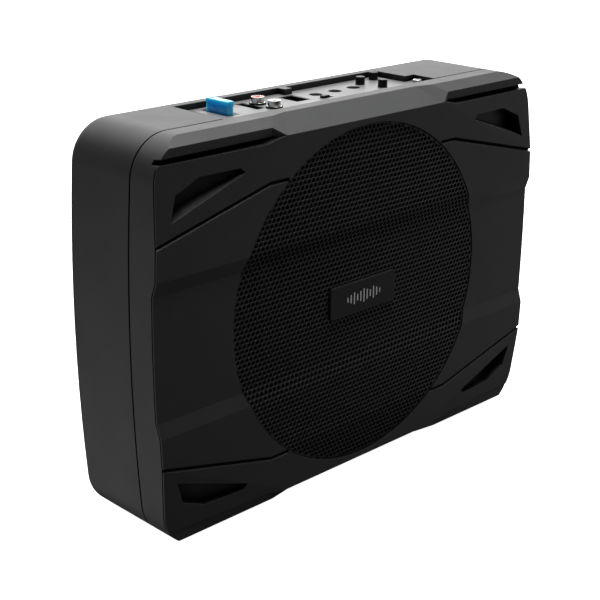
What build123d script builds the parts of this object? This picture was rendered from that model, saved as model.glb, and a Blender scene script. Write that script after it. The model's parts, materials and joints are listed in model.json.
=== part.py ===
from build123d import *
import math
import os

# Powered under-seat car subwoofer, standing on its long side with the control panel on top.
# Design frame used below: +X along the length, +Y from the front face into the case, +Z up,
# with the origin on the front plane at the centre of the loudspeaker. All sizes are in mm.
# Every node is moved by PLACE when it is written, so that the part's own origin is at the
# bottom centre of its bounding box.

# Case
LENGTH = 342.0
HEIGHT = 250.0
CASE_DEPTH = 85.0
SIDE_BULGE = 6.2
CORNER_RADIUS = 26.0
BACK_EDGE_RADIUS = 8.0
WALL = 3.0
SEAM_Y = 25.0
SEAM_WIDTH = 1.2
SEAM_DEPTH = 1.8
TONGUE_CLEARANCE = 0.2
TONGUE_THICKNESS = 2.0
TONGUE_END_Y = 28.0

# Relief of the front bezel
HOOD_SLOPE = (118.1, 12.5)
MIDDLE_SLOPE = (115.3, 15.5)
LOW_MIDDLE_SLOPE = (115.3, 19.5)
SLOPE_END_POINTS = [(70.0, 0.0, 115.3), (79.0, 4.2, 120.4), (60.0, 15.5, 125.0)]
BAND_DEPTH = 3.1
BAND_HALF = 38.5
BAND_EDGE = 47.5
LINE_POINTS = [(172.5, 66.6), (83.5, 88.8), (69.7, 88.7)]
LINE_WIDTH = 2.5
LINE_DEPTH = 2.0
CORNER_DROP_POINTS = [(168.5, 0.0, 67.6), (66.0, 0.0, 117.0), (164.0, 3.6, 111.3)]
POCKET_OUTLINE = [(158.8, 79.0), (154.1, 94.4), (136.6, 101.9), (106.9, 101.9), (103.8, 98.9)]
POCKET_DEPTH = 12.0
POCKET_SHALLOW = 3.5
POCKET_BEVEL = 3.5
HOOD_WALL_Y = 4.2
HOOD_TIP = (70.5, 115.6)
HOOD_CORNER_X = 79.0
SLOT_START_X = 87.0
SLOT_TOP_Z = 115.2
SLOT_FOOT_Z = 112.2
SLOT_FLOOR_Y = 9.5
CREASE_Y = (0.9, 1.7)
CREASE_DEPTH = 0.8
CREASE_FROM_X = 130.0
CREASE_HALF_HEIGHT = 110.0

# Grille and badge
GRILLE_RADIUS = 112.0
GRILLE_GAP = 0.4
GRILLE_SHEET = 1.0
GRILLE_PROFILE = [(-114.0, 2.1), (-88.7, 0.5), (-47.5, 0.5), (-38.5, 3.6)]
BADGE_SIZE = (61.0, 22.0)
BADGE_Z = -1.0
BADGE_THICKNESS = 1.6
MARK_HEIGHTS = [3.0, 5.4, 8.0, 4.4, 6.6, 9.0, 6.6, 4.4, 8.0, 5.4, 3.0]
MARK_PITCH = 3.0
MARK_BAR = 1.1

# Baffle ring that carries the loudspeaker
LEDGE_Y = 11.0
LEDGE_BACK_Y = 14.0
LEDGE_INNER_R = 101.5
RING_WALL = 3.6
GASKET_BACK_Y = 15.0

# Loudspeaker
FLANGE_R = 110.0
FLANGE_INNER_R = 93.5
FLANGE_BACK_Y = 17.5
SCREW_CIRCLE_R = 106.0
WOOFER_SCREWS = 8
BASKET_WINDOWS = 6
CONE_R = 80.0
CONE_EDGE_Y = 19.8
NECK_Y = 36.0
FORMER_OUT_R = 19.4
FORMER_IN_R = 19.1
FORMER_FRONT_Y = 33.0
FORMER_BACK_Y = 62.0
COIL_OUT_R = 20.2
DUST_CAP_R = 32.0
DUST_CAP_DOME_R = 60.0
TOP_PLATE_Y = 50.0
MAGNET_Y = 55.0
YOKE_Y = 69.0
YOKE_BACK_Y = 75.0
GAP_OUT_R = 20.8
POLE_R = 18.4
SPIDER_SEAT_Y = 44.0
SPIDER_NECK_Y = 39.0

# Control panel recess in the top wall
RECESS_X = (-98.0, 81.0)
RECESS_BACK_Y = 71.5
PANEL_TOP_Z = 121.2
PANEL_THICKNESS = 2.0
PANEL_BACK_Z = PANEL_TOP_Z - PANEL_THICKNESS
PANEL_FRONT_Y = 28.4
LEDGE_FLOOR_Z = 117.2
TAB_X = 90.0
TAB_Y = (28.0, 44.0)
PANEL_SCREW_AT = (85.6, 36.6)
NOTCH_X = -86.0
NOTCH_Y = 55.0
BOARD_TOP_Z = 110.0
BOARD_THICKNESS = 1.6
BOARD_X = (-95.0, 84.0)
BOARD_BOTTOM_Z = BOARD_TOP_Z - BOARD_THICKNESS
BOARD_Y = (30.0, 79.0)
SPACERS_AT = [(-90.0, 34.0), (-62.0, 65.0), (74.0, 34.0), (62.0, 65.0)]
TERMINAL_Z = 97.0
TERMINAL_SHEET = 1.8
LUG_X = 4.0
LEAD_R = 0.9

# What stands in the panel
FUSE_AT = (-75.6, 54.0)
FUSE_SIZE = (6.0, 20.0)
FUSE_HOLDER_SIZE = (9.2, 25.2)
FUSE_FOOT_Z = 119.0
FUSE_TOP_Z = 129.2
FUSE_GRIP = 3.2
FUSE_BLADE = (0.8, 5.2)
FUSE_BLADE_FOOT_Z = 111.4
SPEAKER_SOCKET_AT = (-50.3, 55.0)
SPEAKER_SOCKET_SIZE = (6.6, 20.6)
RCA_X = -41.8
RCA_Y = (57.0, 42.0)
RCA_R = 4.15
RCA_FOOT_R = 4.65
RCA_BORE_R = 3.6
RCA_CONTACT_R = 1.3
RCA_COLLAR_R = 5.4
RCA_COLLAR_TOP_Z = 122.3
RCA_TOP_Z = 125.8
POWER_SOCKET_AT = (-13.4, 53.4)
POWER_SOCKET_SIZE = (12.0, 17.4)
SOCKET_WALL = 1.0
SOCKET_TOP_Z = 121.0
SOCKET_FLOOR_Z = 112.5
PIN_HEIGHT = 4.0
SPEAKER_PINS = [(0.0, dy) for dy in (-6.6, -2.2, 2.2, 6.6)]
POWER_PINS = [(dx, dy) for dx in (-2.4, 2.4) for dy in (-4.0, 4.0)]
POT_X = (5.6, 23.2, 40.6)
POT_Y = 53.4
POT_HOLE_R = 4.5
ROTOR_R = 3.0
ROTOR_Z = (114.1, 119.9)
SWITCH_AT = (4.4, 42.6)
SWITCH_SLOT = (9.0, 3.6)
SWITCH_TRAVEL = 3.0
LEVER_WIDTH = 3.0
LEVER_Z = (114.7, 122.8)
BUTTONS_AT = [(52.6, 58.4), (56.6, 41.8), (71.6, 64.0)]
BUTTON_R = 3.1
BUTTON_FOOT_Z = 113.0
BUTTON_TOP_Z = 126.4
CONTROL_TOP_Z = 118.8
TURNING_GAP = 0.06

# Fasteners and feet
CASE_SCREWS_AT = [(x, z) for x in (-147.0, 147.0) for z in (-102.0, 102.0)]
CASE_SCREWS_AT += [(-158.0, 0.0), (158.0, 0.0)]
CASE_SCREWS_AT += [(x, z) for x in (-112.0, 112.0) for z in (-113.5, 113.5)]
BOSS_R = 5.5
BOSS_JOIN_Y = 30.0
HEAD_SEAT_Y = 60.0
INSERT_SPACING = (260.0, 170.0)
INSERT_R = 3.6
INSERT_BORE_R = 2.1
INSERT_LENGTH = 9.0
FEET_AT = [(x, z) for x in (-100.0, 100.0) for z in (-104.0, 104.0)]
FOOT_R = 8.0
FOOT_HEIGHT = 2.5

PLACE = Location((0, -(CASE_DEPTH + FOOT_HEIGHT) / 2, HEIGHT / 2))
CORNERS = [(1, 1), (-1, 1), (1, -1), (-1, -1)]


def facing(y):
    """The plane parallel to the front face at depth y, drawn in X and Z."""
    return Plane((0, y, 0), x_dir=(1, 0, 0), z_dir=(0, -1, 0))


def slab(face, y0, y1):
    """A front-view face made into a solid from depth y0 to depth y1."""
    return extrude(facing(y0) * face, -(y1 - y0))


def box(x, y, z):
    """A box between the two values given for each axis."""
    size = (x[1] - x[0], y[1] - y[0], z[1] - z[0])
    middle = ((x[0] + x[1]) / 2, (y[0] + y[1]) / 2, (z[0] + z[1]) / 2)
    return Pos(*middle) * Box(*size)


def rod_y(x, z, radius, y0, y1):
    """A round bar along Y."""
    return Pos(x, (y0 + y1) / 2, z) * Rot(90, 0, 0) * Cylinder(radius, y1 - y0)


def rod_z(x, y, radius, z0, z1):
    """A round bar along Z."""
    return Pos(x, y, (z0 + z1) / 2) * Cylinder(radius, z1 - z0)


def turned(points):
    """A ring or disc turned about the loudspeaker's axis, from (radius, depth) points."""
    return revolve(make_face(Polyline(*points, close=True)), Axis.Y)


def along_x(points, half_length):
    """A bar along X, from (depth, height) points."""
    face = make_face(Polyline(*[(0, y, z) for y, z in points], close=True))
    return extrude(face, half_length, dir=(1, 0, 0), both=True)


def mirrored(shape, corner):
    """The same shape at another corner: (1, 1) is the top right one."""
    if corner[0] < 0:
        shape = mirror(shape, Plane.YZ)
    if corner[1] < 0:
        shape = mirror(shape, Plane.XY)
    return shape


def outline(inset=0.0):
    """The case's outline in front view: bowed ends, flat long sides, round corners."""
    half_l = LENGTH / 2 - inset
    edge_l = half_l - SIDE_BULGE
    half_h = HEIGHT / 2 - inset
    edges = [
        ThreePointArc((edge_l, -half_h), (half_l, 0), (edge_l, half_h)),
        Line((edge_l, half_h), (-edge_l, half_h)),
        ThreePointArc((-edge_l, half_h), (-half_l, 0), (-edge_l, -half_h)),
        Line((-edge_l, -half_h), (edge_l, -half_h)),
    ]
    face = make_face(edges)
    return fillet(face.vertices(), CORNER_RADIUS - inset)


def half_space(p, q, r, towards, depth, shift=0.0):
    """A thick block on one side of the plane through three points, moved back by shift."""
    p, q, r = [Vector(*point) for point in (p, q, r)]
    normal = (q - p).cross(r - p).normalized()
    if normal.dot(Vector(*towards)) < 0:
        normal = normal * -1
    plane = Plane(p - normal * shift, x_dir=(q - p), z_dir=normal)
    return plane * Pos(0, 0, depth / 2) * Box(400, 400, depth)


def slope_bar(slope, shift):
    """Everything above a slope from the front face up to the top wall, moved in by shift."""
    foot_z, top_y = slope
    reach = 30.0
    along = Vector(top_y, HEIGHT / 2 - foot_z).normalized()
    foot = Vector(0, foot_z) + Vector(along.Y, -along.X) * shift
    front = foot - along * reach
    back = foot + along * reach
    return along_x([(front.X, front.Y), (back.X, back.Y), (front.X, back.Y)], LENGTH)


def chamfer_cut(shift):
    """The slopes along the top and bottom of the front, deeper in the middle."""
    end = half_space(*SLOPE_END_POINTS, (0, -1, 1), 60, shift)
    between = end & mirror(end, Plane.YZ)
    ends = slope_bar(HOOD_SLOPE, shift)
    top = [ends, slope_bar(MIDDLE_SLOPE, shift) & between]
    bottom = [ends, slope_bar(LOW_MIDDLE_SLOPE, shift) & between]
    return top + [mirror(cut, Plane.XY) for cut in bottom]


def band_cut(shift):
    """The wide shallow band across the middle of the front."""
    low = shift - 2.0
    run = (BAND_EDGE - BAND_HALF) * (BAND_DEPTH + 2.0) / BAND_DEPTH
    points = [(low, BAND_HALF + run), (shift + BAND_DEPTH, BAND_HALF)]
    points += [(shift + BAND_DEPTH, -BAND_HALF), (low, -BAND_HALF - run)]
    return along_x(points, LENGTH)


def corner_drop_cut(shift):
    """The plane that lets each corner plate fall back towards its corner."""
    points = [(x, y + shift, z) for x, y, z in CORNER_DROP_POINTS]
    block = half_space(*points, (0, -1, 0), 40)
    right = block & box((0, 200), (-30, 30), (0, 150))
    return [mirrored(right, corner) for corner in CORNERS]


def hood_cut():
    """Room in front of the hood wall, and the end wall that runs forward to the hood's tip."""
    tip_x, tip_z = HOOD_TIP
    slot_z = SLOT_FOOT_Z + 0.3
    share = (HOOD_CORNER_X - tip_x) / (SLOT_START_X - tip_x)
    corner_z = tip_z + share * (slot_z - tip_z)
    rest = [(SLOT_START_X, slot_z), (190, SLOT_FOOT_Z), (190, 135)]
    front = [HOOD_TIP] + rest + [(tip_x, 135)]
    back = [(HOOD_CORNER_X, corner_z)] + rest + [(HOOD_CORNER_X, 135)]
    faces = [facing(-0.5) * make_face(Polyline(*front, close=True))]
    faces.append(facing(HOOD_WALL_Y) * make_face(Polyline(*back, close=True)))
    return loft(faces, ruled=True)


def slot_cut():
    """The deep slot between a top hood and its corner plate, closing at the hood's tip."""
    points = [(-2.0, SLOT_FOOT_Z + 0.3), (HOOD_WALL_Y, SLOT_TOP_Z)]
    points += [(SLOT_FLOOR_Y, SLOT_TOP_Z - 0.9), (SLOT_FLOOR_Y, SLOT_FOOT_Z - 0.6)]
    reach = [(SLOT_START_X, SLOT_FOOT_Z), (190, SLOT_FOOT_Z - 1), (190, 135), (HOOD_TIP[0], 135)]
    under_hood = slab(make_face(Polyline(HOOD_TIP, *reach, close=True)), -5, 20)
    return along_x(points, LENGTH) & under_hood


def line_cut(shift=0.0):
    """The bent V-groove that borders a corner plate."""
    parts = []
    for start, end in zip(LINE_POINTS, LINE_POINTS[1:]):
        run = Vector(end[0] - start[0], 0, end[1] - start[1])
        plane = Plane((start[0], shift, start[1]), x_dir=(0, -1, 0), z_dir=run.normalized())
        half = LINE_WIDTH / 2
        vee = make_face(Polyline((1, -half * 1.6), (-LINE_DEPTH, 0), (1, half * 1.6), close=True))
        parts.append(extrude(plane * vee, run.length + 0.6))
    return parts[0] + parts[1]


def pocket_cut():
    """A five-sided dimple with a sloping floor and a bevelled lower wall."""
    prism = slab(make_face(Polyline(*POCKET_OUTLINE, close=True)), -1, POCKET_DEPTH)
    (low_x, low_z), (high_x, high_z) = POCKET_OUTLINE[0], POCKET_OUTLINE[4]
    bevel_foot = (low_x, POCKET_DEPTH, low_z + POCKET_BEVEL)
    above = half_space((low_x, 0, low_z), (high_x, 0, high_z), bevel_foot, (0, 0, 1), 60)
    floor_out = (low_x, POCKET_DEPTH, low_z)
    floor_up = (high_x, POCKET_SHALLOW, high_z + 10)
    before = half_space((high_x, POCKET_SHALLOW, high_z), floor_out, floor_up, (0, -1, 0), 60)
    return prism & above & before


def before_front(depth):
    """Everything in front of the relief when it is moved in by a depth."""
    space = box((-200, 200), (-20, depth), (-130, 130)) + band_cut(depth)
    for cut in corner_drop_cut(depth):
        space += cut
    return space


def crease_cut():
    """The fine groove in each end wall just behind the front's edge."""
    layer = before_front(CREASE_Y[1]) - before_front(CREASE_Y[0])
    rim = slab(outline(-1) - outline(CREASE_DEPTH), -5, 20)
    half = CREASE_HALF_HEIGHT
    ends = [box((CREASE_FROM_X, 200), (-5, 20), (-half, half))]
    ends.append(mirror(ends[0], Plane.YZ))
    return [layer & rim & end for end in ends]


def front_cuts():
    """Everything that is cut away from the bezel's front."""
    cuts = chamfer_cut(0.0) + [band_cut(0.0)] + corner_drop_cut(0.0) + crease_cut()
    for maker in (hood_cut, line_cut, pocket_cut):
        shape = maker()
        cuts += [mirrored(shape, corner) for corner in CORNERS]
    slot = slot_cut()
    cuts += [mirrored(slot, corner) for corner in CORNERS if corner[1] > 0]
    return cuts


def bezel_cavity():
    """The hollow behind the bezel's skin."""
    hollow = slab(outline(WALL), WALL, SEAM_Y)
    for cut in chamfer_cut(WALL) + [band_cut(WALL)] + corner_drop_cut(WALL):
        hollow -= cut
    hood_back = box((HOOD_TIP[0] - WALL, 200), (-5, SLOT_FLOOR_Y + WALL), (SLOT_FOOT_Z - WALL, 140))
    xs, zs = zip(*POCKET_OUTLINE)
    pocket_back = box((min(xs) - WALL, max(xs) + WALL), (-2, POCKET_DEPTH + WALL),
                      (min(zs) - WALL, max(zs) + WALL))
    for corner in CORNERS:
        hollow -= mirrored(hood_back, corner)
        hollow -= mirrored(pocket_back, corner)
    return hollow


def front_bezel():
    body = slab(outline(), 0, SEAM_Y - SEAM_WIDTH / 2) - bezel_cavity()
    tongue_inset = WALL + TONGUE_CLEARANCE
    inner = outline(tongue_inset + TONGUE_THICKNESS)
    body += slab(outline(WALL - 0.2) - inner, SEAM_Y - 6, SEAM_Y - SEAM_WIDTH / 2)
    body += slab(outline(tongue_inset) - inner, SEAM_Y - 6, TONGUE_END_Y)
    body += rod_y(0, 0, GRILLE_RADIUS + RING_WALL, 2.0, LEDGE_BACK_Y)
    for x, z in CASE_SCREWS_AT:
        body += rod_y(x, z, BOSS_R, 2.0, BOSS_JOIN_Y)
    body -= rod_y(0, 0, GRILLE_RADIUS, -5, LEDGE_Y)
    body -= rod_y(0, 0, LEDGE_INNER_R, 0, 40)
    for x, z in CASE_SCREWS_AT:
        body -= rod_y(x, z, 1.7, LEDGE_BACK_Y, BOSS_JOIN_Y + 1)
    for x, z in ring_points(SCREW_CIRCLE_R, WOOFER_SCREWS, 22.5):
        body -= rod_y(x, z, 1.3, LEDGE_Y + 0.6, LEDGE_BACK_Y + 1)
    for cut in front_cuts():
        body -= cut
    return body


def ring_points(radius, count, start=0.0):
    """Evenly spaced points on a circle in front view."""
    angles = [math.radians(start + 360.0 * i / count) for i in range(count)]
    return [(radius * math.cos(a), radius * math.sin(a)) for a in angles]


def rectangle(width, height):
    """The four corners of a rectangle about the centre."""
    return [(x, z) for x in (-width / 2, width / 2) for z in (-height / 2, height / 2)]


def case_seal():
    ring = outline(SEAM_DEPTH) - outline(WALL)
    return slab(ring, SEAM_Y - SEAM_WIDTH / 2, SEAM_Y + SEAM_WIDTH / 2)


def recess_frame():
    """The walls and ledge round the control panel's recess, below the top wall."""
    back = RECESS_BACK_Y + 2
    front = TONGUE_END_Y + 0.2
    z = (LEDGE_FLOOR_Z, HEIGHT / 2 - WALL + 0.5)
    frame = box((RECESS_X[0] - 2, RECESS_X[1] + 2), (front, back), z)
    frame += box((RECESS_X[1], TAB_X + 2), (front, TAB_Y[1] + 2), z)
    frame -= box((RECESS_X[0] + 3, RECESS_X[1] - 3), (0, RECESS_BACK_Y - 3), (100, 140))
    frame += box((RECESS_X[0], NOTCH_X), (NOTCH_Y, RECESS_BACK_Y), (LEDGE_FLOOR_Z, 118.4))
    frame += rod_z(*PANEL_SCREW_AT, 3.6, 110.0, 118.0)
    return frame


def recess_opening():
    """The open space above the panel's ledge."""
    z = (PANEL_BACK_Z, 140)
    front = SEAM_Y + SEAM_WIDTH / 2 - 1
    space = box(RECESS_X, (front, RECESS_BACK_Y), z)
    return space + box((RECESS_X[1] - 1, TAB_X), (front, TAB_Y[1]), z)


def rear_housing():
    front = SEAM_Y + SEAM_WIDTH / 2
    outer = slab(outline(), front, CASE_DEPTH)
    outer = fillet(outer.edges().group_by(Axis.Y)[-1], BACK_EDGE_RADIUS)
    inner = slab(outline(WALL), front - 1, CASE_DEPTH - WALL)
    inner = fillet(inner.edges().group_by(Axis.Y)[-1], BACK_EDGE_RADIUS - WALL)
    body = outer - inner
    body += recess_frame()
    body -= recess_opening()
    body += box((-11.0, -4.5), (65.0, RECESS_BACK_Y + 0.5), (PANEL_TOP_Z, HEIGHT / 2))
    inserts = rectangle(*INSERT_SPACING)
    bosses = [rod_y(x, z, BOSS_R + 1, BOSS_JOIN_Y, CASE_DEPTH - 1) for x, z in CASE_SCREWS_AT]
    insert_back = CASE_DEPTH - INSERT_LENGTH
    bosses += [rod_y(x, z, 6.2, insert_back - 2, CASE_DEPTH - 1) for x, z in inserts]
    for boss in bosses:
        body += boss
    for x, z in CASE_SCREWS_AT:
        body -= rod_y(x, z, 2.2, BOSS_JOIN_Y - 1, HEAD_SEAT_Y + 1)
        body -= rod_y(x, z, 4.6, HEAD_SEAT_Y, CASE_DEPTH + 1)
    for x, z in inserts:
        body -= rod_y(x, z, INSERT_R, insert_back, CASE_DEPTH + 1)
    return body - rod_z(*PANEL_SCREW_AT, 1.2, 111.0, 125.0)


def cross_slot(disc):
    """A cross-shaped driver recess of the disc's size and place."""
    space = disc.bounding_box()
    middle = space.center()
    size = max(space.size.X, space.size.Y, space.size.Z) + 1
    if space.size.Z < space.size.Y:
        bars = Pos(*middle) * Box(0.8, size, size) + Pos(*middle) * Box(size, 0.8, size)
    else:
        bars = Pos(*middle) * Box(0.8, size, size) + Pos(*middle) * Box(size, size, 0.8)
    return disc & bars


def case_screws():
    solids = []
    head_top = HEAD_SEAT_Y + 2.8
    for x, z in CASE_SCREWS_AT:
        screw = rod_y(x, z, 1.65, 16.0, HEAD_SEAT_Y) + rod_y(x, z, 3.6, HEAD_SEAT_Y, head_top)
        solids.append(screw - cross_slot(rod_y(x, z, 2.2, head_top - 1.4, head_top + 0.1)))
    return solids


def bracket_inserts():
    back = CASE_DEPTH - INSERT_LENGTH
    solids = []
    for x, z in rectangle(*INSERT_SPACING):
        insert = rod_y(x, z, INSERT_R, back, CASE_DEPTH)
        solids.append(insert - rod_y(x, z, INSERT_BORE_R, back - 1, CASE_DEPTH + 1))
    return solids


def rubber_feet():
    solids = []
    for x, z in FEET_AT:
        foot = rod_y(x, z, FOOT_R, CASE_DEPTH, CASE_DEPTH + FOOT_HEIGHT)
        solids.append(fillet(foot.edges().group_by(Axis.Y)[-1], 0.8))
    return solids


def grille_profile(setback):
    """The grille's folds from bottom to top, as (depth, height) points."""
    rows = GRILLE_PROFILE + [(-z, y) for z, y in reversed(GRILLE_PROFILE)]
    return [(y + setback, z) for z, y in rows]


def grille_mesh():
    """The pressed sheet with its folded edge, drawn without its mesh holes."""
    edge = GRILLE_RADIUS - GRILLE_GAP
    outer = along_x(grille_profile(0.0) + [(LEDGE_Y, 114.0), (LEDGE_Y, -114.0)], 130)
    inner = along_x(grille_profile(GRILLE_SHEET) + [(20.0, 114.0), (20.0, -114.0)], 130)
    sheet = rod_y(0, 0, edge, -1, LEDGE_Y) & outer
    return sheet - (rod_y(0, 0, edge - GRILLE_SHEET, -1, 30) & inner)


def grille_retainer():
    edge = GRILLE_RADIUS - GRILLE_GAP - GRILLE_SHEET
    return turned([(edge - 5.5, 8.4), (edge, 8.4), (edge, LEDGE_Y), (edge - 5.5, LEDGE_Y)])


def badge_plate():
    face = fillet(Rectangle(*BADGE_SIZE).vertices(), 3.0)
    back = GRILLE_PROFILE[3][1]
    plate = slab(Pos(0, BADGE_Z) * face, back - BADGE_THICKNESS, back)
    return chamfer(plate.edges().group_by(Axis.Y)[0], 0.4)


def badge_mark():
    """A plain sound-level pattern of upright bars."""
    front = GRILLE_PROFILE[3][1] - BADGE_THICKNESS
    first = -(len(MARK_HEIGHTS) - 1) / 2 * MARK_PITCH
    solids = []
    for i, height in enumerate(MARK_HEIGHTS):
        x = first + i * MARK_PITCH
        z = (BADGE_Z - height / 2, BADGE_Z + height / 2)
        solids.append(box((x - MARK_BAR / 2, x + MARK_BAR / 2), (front - 0.3, front), z))
    return solids


def screw_holes(radius):
    """The loudspeaker's screw holes."""
    places = ring_points(SCREW_CIRCLE_R, WOOFER_SCREWS, 22.5)
    return [rod_y(x, z, radius, 5, 25) for x, z in places]


def woofer_gasket():
    inner = LEDGE_INNER_R + 0.5
    return turned([(inner, LEDGE_BACK_Y), (FLANGE_R, LEDGE_BACK_Y),
                   (FLANGE_R, GASKET_BACK_Y), (inner, GASKET_BACK_Y)]) - screw_holes(1.6)


def woofer_screws():
    solids = []
    head_top = FLANGE_BACK_Y + 2.2
    for x, z in ring_points(SCREW_CIRCLE_R, WOOFER_SCREWS, 22.5):
        screw = rod_y(x, z, 1.25, LEDGE_Y + 0.8, FLANGE_BACK_Y)
        screw += rod_y(x, z, 2.8, FLANGE_BACK_Y, head_top)
        solids.append(screw - cross_slot(rod_y(x, z, 1.7, head_top - 1.1, head_top + 0.1)))
    return solids


def woofer_basket():
    seat = SPIDER_SEAT_Y
    points = [(FLANGE_INNER_R, GASKET_BACK_Y), (FLANGE_R, GASKET_BACK_Y)]
    points += [(FLANGE_R, FLANGE_BACK_Y), (97.0, FLANGE_BACK_Y), (97.0, 31.0), (63.0, seat + 3)]
    points += [(56.0, seat + 3), (56.0, TOP_PLATE_Y), (30.0, TOP_PLATE_Y), (30.0, 48.2)]
    points += [(50.0, 48.2), (50.0, seat), (60.0, seat), (94.4, 30.0), (94.4, FLANGE_BACK_Y)]
    points += [(FLANGE_INNER_R, FLANGE_BACK_Y)]
    body = turned(points)
    window = box((66, 91), (20, 60), (-13, 13))
    window = fillet(window.edges().filter_by(Axis.Y), 5)
    for i in range(BASKET_WINDOWS):
        body -= Rot(0, 360 / BASKET_WINDOWS * i, 0) * window
    return body - screw_holes(1.6)


def surround():
    """The rubber roll between basket and cone: two lips joined by an inward half roll."""
    edges = [
        Line((101.2, 14.2), (90.5, 14.2)),
        ThreePointArc((90.5, 14.2), (86.4, 24.0), (CONE_R, 19.0)),
        Line((CONE_R, 19.0), (76.0, 19.0)),
        Line((76.0, 19.0), (76.0, 19.8)),
        Line((76.0, 19.8), (CONE_R, 19.8)),
        ThreePointArc((CONE_R, 19.8), (86.6, 24.9), (91.4, 15.0)),
        Line((91.4, 15.0), (101.2, 15.0)),
        Line((101.2, 15.0), (101.2, 14.2)),
    ]
    return revolve(make_face(edges), Axis.Y)


def cone():
    points = [(CONE_R, CONE_EDGE_Y), (CONE_R, CONE_EDGE_Y + 1), (75.2, CONE_EDGE_Y + 1)]
    points += [(FORMER_OUT_R, NECK_Y + 1), (FORMER_OUT_R, NECK_Y), (75.6, CONE_EDGE_Y)]
    return turned(points)


def dust_cap():
    """A shallow dome glued on the cone's front."""
    slope = (NECK_Y - CONE_EDGE_Y) / (75.6 - FORMER_OUT_R)
    rim_y = NECK_Y - (DUST_CAP_R - FORMER_OUT_R) * slope
    rise = DUST_CAP_DOME_R - math.sqrt(DUST_CAP_DOME_R ** 2 - DUST_CAP_R ** 2)
    centre_y = rim_y - rise + DUST_CAP_DOME_R
    sheet = 0.8
    outer = Pos(0, centre_y, 0) * Sphere(DUST_CAP_DOME_R)
    inner = Pos(0, centre_y, 0) * Sphere(DUST_CAP_DOME_R - sheet)
    return (outer - inner) & rod_y(0, 0, DUST_CAP_R, rim_y - 30, rim_y)


def voice_coil_former():
    return turned([(FORMER_IN_R, FORMER_FRONT_Y), (FORMER_OUT_R, FORMER_FRONT_Y),
                   (FORMER_OUT_R, FORMER_BACK_Y), (FORMER_IN_R, FORMER_BACK_Y)])


def voice_coil():
    return turned([(FORMER_OUT_R, 46.0), (COIL_OUT_R, 46.0),
                   (COIL_OUT_R, 59.0), (FORMER_OUT_R, 59.0)])


def spider():
    """The corrugated disc that centres the coil."""
    waves = 6
    inner_r, outer_r = 23.0, 49.0
    sheet = 0.6
    crest = 0.8
    drop = SPIDER_SEAT_Y - sheet - SPIDER_NECK_Y
    front = [(FORMER_OUT_R, SPIDER_NECK_Y)]
    for i in range(2 * waves + 1):
        share = i / (2 * waves)
        wave = crest if i % 2 else -crest
        front.append((inner_r + share * (outer_r - inner_r), SPIDER_NECK_Y + share * drop + wave))
    front += [(51.0, SPIDER_SEAT_Y - sheet), (58.0, SPIDER_SEAT_Y - sheet)]
    back = [(radius, y + sheet) for radius, y in reversed(front)]
    return turned(front + back)


def top_plate():
    return turned([(GAP_OUT_R, TOP_PLATE_Y), (48.0, TOP_PLATE_Y),
                   (48.0, MAGNET_Y), (GAP_OUT_R, MAGNET_Y)])


def magnet():
    return turned([(27.0, MAGNET_Y), (51.0, MAGNET_Y), (52.0, MAGNET_Y + 1), (52.0, YOKE_Y - 1),
                   (51.0, YOKE_Y), (27.0, YOKE_Y)])


def yoke():
    """The back plate and the pole in one piece."""
    return turned([(0, TOP_PLATE_Y), (POLE_R, TOP_PLATE_Y), (POLE_R, YOKE_Y), (48.0, YOKE_Y),
                   (48.0, YOKE_BACK_Y), (0, YOKE_BACK_Y)])


def magnet_pad():
    """Foam between the yoke and the case's back wall."""
    back = CASE_DEPTH - WALL
    return turned([(18.0, YOKE_BACK_Y), (36.0, YOKE_BACK_Y), (36.0, back), (18.0, back)])


def control_panel():
    """The silver plate on the ledge of the recess, with a screw tab at one end."""
    gap = 0.4
    z = (PANEL_BACK_Z, PANEL_TOP_Z)
    body = box((RECESS_X[0] + gap, RECESS_X[1] - gap), (PANEL_FRONT_Y, RECESS_BACK_Y - gap), z)
    body -= box((RECESS_X[0], NOTCH_X), (NOTCH_Y, RECESS_BACK_Y), z)
    body += box((RECESS_X[1] - 1, TAB_X - gap), (PANEL_FRONT_Y, TAB_Y[1] - gap), z)
    body -= rod_z(*PANEL_SCREW_AT, 1.7, 100, 130)
    for x, y in BUTTONS_AT:
        body -= rod_z(x, y, BUTTON_R + 0.4, 100, 130)
    for x in POT_X:
        body -= rod_z(x, POT_Y, POT_HOLE_R, 100, 130)
    for y in RCA_Y:
        body -= rod_z(RCA_X, y, RCA_FOOT_R + 0.1, 100, 130)
    for at, size in window_sizes():
        body -= Pos(at[0], at[1], PANEL_TOP_Z) * Box(size[0] + 0.4, size[1] + 0.4, 10)
    return body


def window_sizes():
    """The rectangular openings of the panel: centre and size."""
    return [
        (FUSE_AT, FUSE_HOLDER_SIZE),
        (SPEAKER_SOCKET_AT, SPEAKER_SOCKET_SIZE),
        (POWER_SOCKET_AT, POWER_SOCKET_SIZE),
        (SWITCH_AT, SWITCH_SLOT),
    ]


def panel_screw():
    x, y = PANEL_SCREW_AT
    screw = rod_z(x, y, 1.15, 112.0, PANEL_TOP_Z)
    head = rod_z(x, y, 3.2, PANEL_TOP_Z, PANEL_TOP_Z + 2.2)
    head = fillet(head.edges().group_by(Axis.Z)[-1], 0.9)
    return screw + head - cross_slot(rod_z(x, y, 1.9, PANEL_TOP_Z + 1.0, PANEL_TOP_Z + 2.3))


def block_on_board(at, size, top, bottom=BOARD_TOP_Z):
    """An upright block centred on a place of the board."""
    return Pos(at[0], at[1], (bottom + top) / 2) * Box(size[0], size[1], top - bottom)


def socket_shell(at, size):
    """An open-topped box on the board."""
    inner = (size[0] - 2 * SOCKET_WALL, size[1] - 2 * SOCKET_WALL)
    hollow = block_on_board(at, inner, SOCKET_TOP_Z + 1, SOCKET_FLOOR_Z)
    return block_on_board(at, size, SOCKET_TOP_Z) - hollow


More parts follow.
